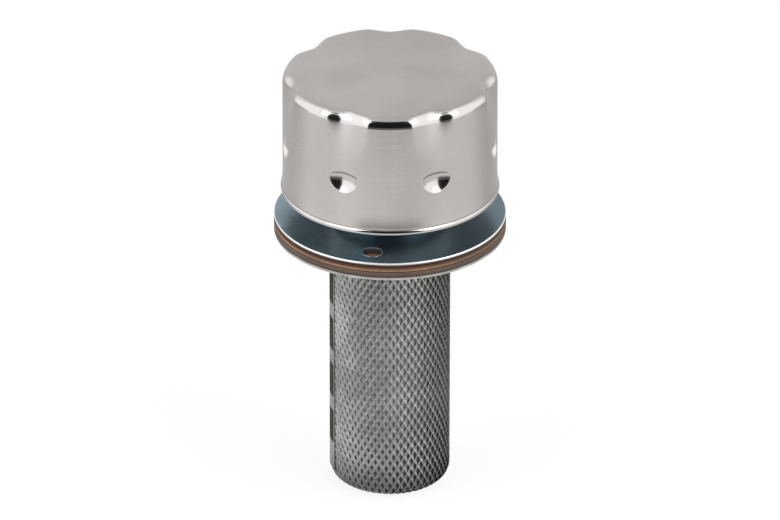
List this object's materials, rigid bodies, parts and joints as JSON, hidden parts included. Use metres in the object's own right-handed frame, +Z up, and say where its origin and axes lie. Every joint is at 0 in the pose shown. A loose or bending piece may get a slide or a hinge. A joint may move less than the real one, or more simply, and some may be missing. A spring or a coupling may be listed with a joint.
{
  "type": "hydraulic filler breather",
  "caption": "Filler breather for a hydraulic tank: vented chromed bayonet cap over a gasketed screw flange with a mesh strainer basket.",
  "frame": {"origin": "centre of the screw circle, on the face that seats on the tank top", "axes": "+Z up along the axis of revolution, from the basket towards the cap; the front with the visible screw hole is -Y"},
  "size_m": [0.083, 0.083, 0.1609],
  "materials": {
    "chromed_cap": "satin chrome on pressed steel, polished crown edge",
    "blue_zinc": "blue passivated zinc on steel",
    "cork_rubber": "cork and rubber gasket sheet",
    "bright_zinc": "bright zinc on steel sheet",
    "basket_zinc": "zinc dipped expanded metal",
    "filter_foam": "open cell foam",
    "nitrile": "moulded nitrile rubber",
    "spring_steel": "oiled spring wire"
  },
  "bodies": {
    "tank_side": {"bayonet_flange": "blue_zinc", "upper_gasket": "cork_rubber", "lower_gasket": "cork_rubber", "basket_flange": "bright_zinc", "basket_wall": "basket_zinc", "basket_seam": "basket_zinc", "basket_bottom": "basket_zinc"},
    "seal_ring": {"cap_seal": "nitrile"},
    "cap": {"cap_shell": "chromed_cap", "base_pan": "bright_zinc", "filter_core": "bright_zinc", "filter_foam": "filter_foam", "filter_top_plate": "bright_zinc", "centre_stem": "bright_zinc", "stem_washer": "bright_zinc", "spring_washer": "bright_zinc", "stem_nut": "bright_zinc", "bridge_spring": "spring_steel"},
    "claw_bridge": {"bayonet_bridge": "blue_zinc"}
  },
  "joints": [
    {"name": "cap_lift", "type": "slide", "parent": "tank_side", "child": "seal_ring", "axis": [0, 0, 1], "range_m": [0, 0.05]},
    {"name": "cap_turn", "type": "hinge", "parent": "seal_ring", "child": "cap", "pos_m": [0, 0, 0.012], "axis": [0, 0, 1], "range_deg": [-40, 0]},
    {"name": "bridge_draw", "type": "slide", "parent": "cap", "child": "claw_bridge", "axis": [0, 0, -1], "range_m": [0, 0.0016], "deforming": ["bridge_spring"]}
  ],
  "couplings": [
    {"joint": "bridge_draw", "follows": "cap_turn", "m_per_rad": -0.00229}
  ]
}
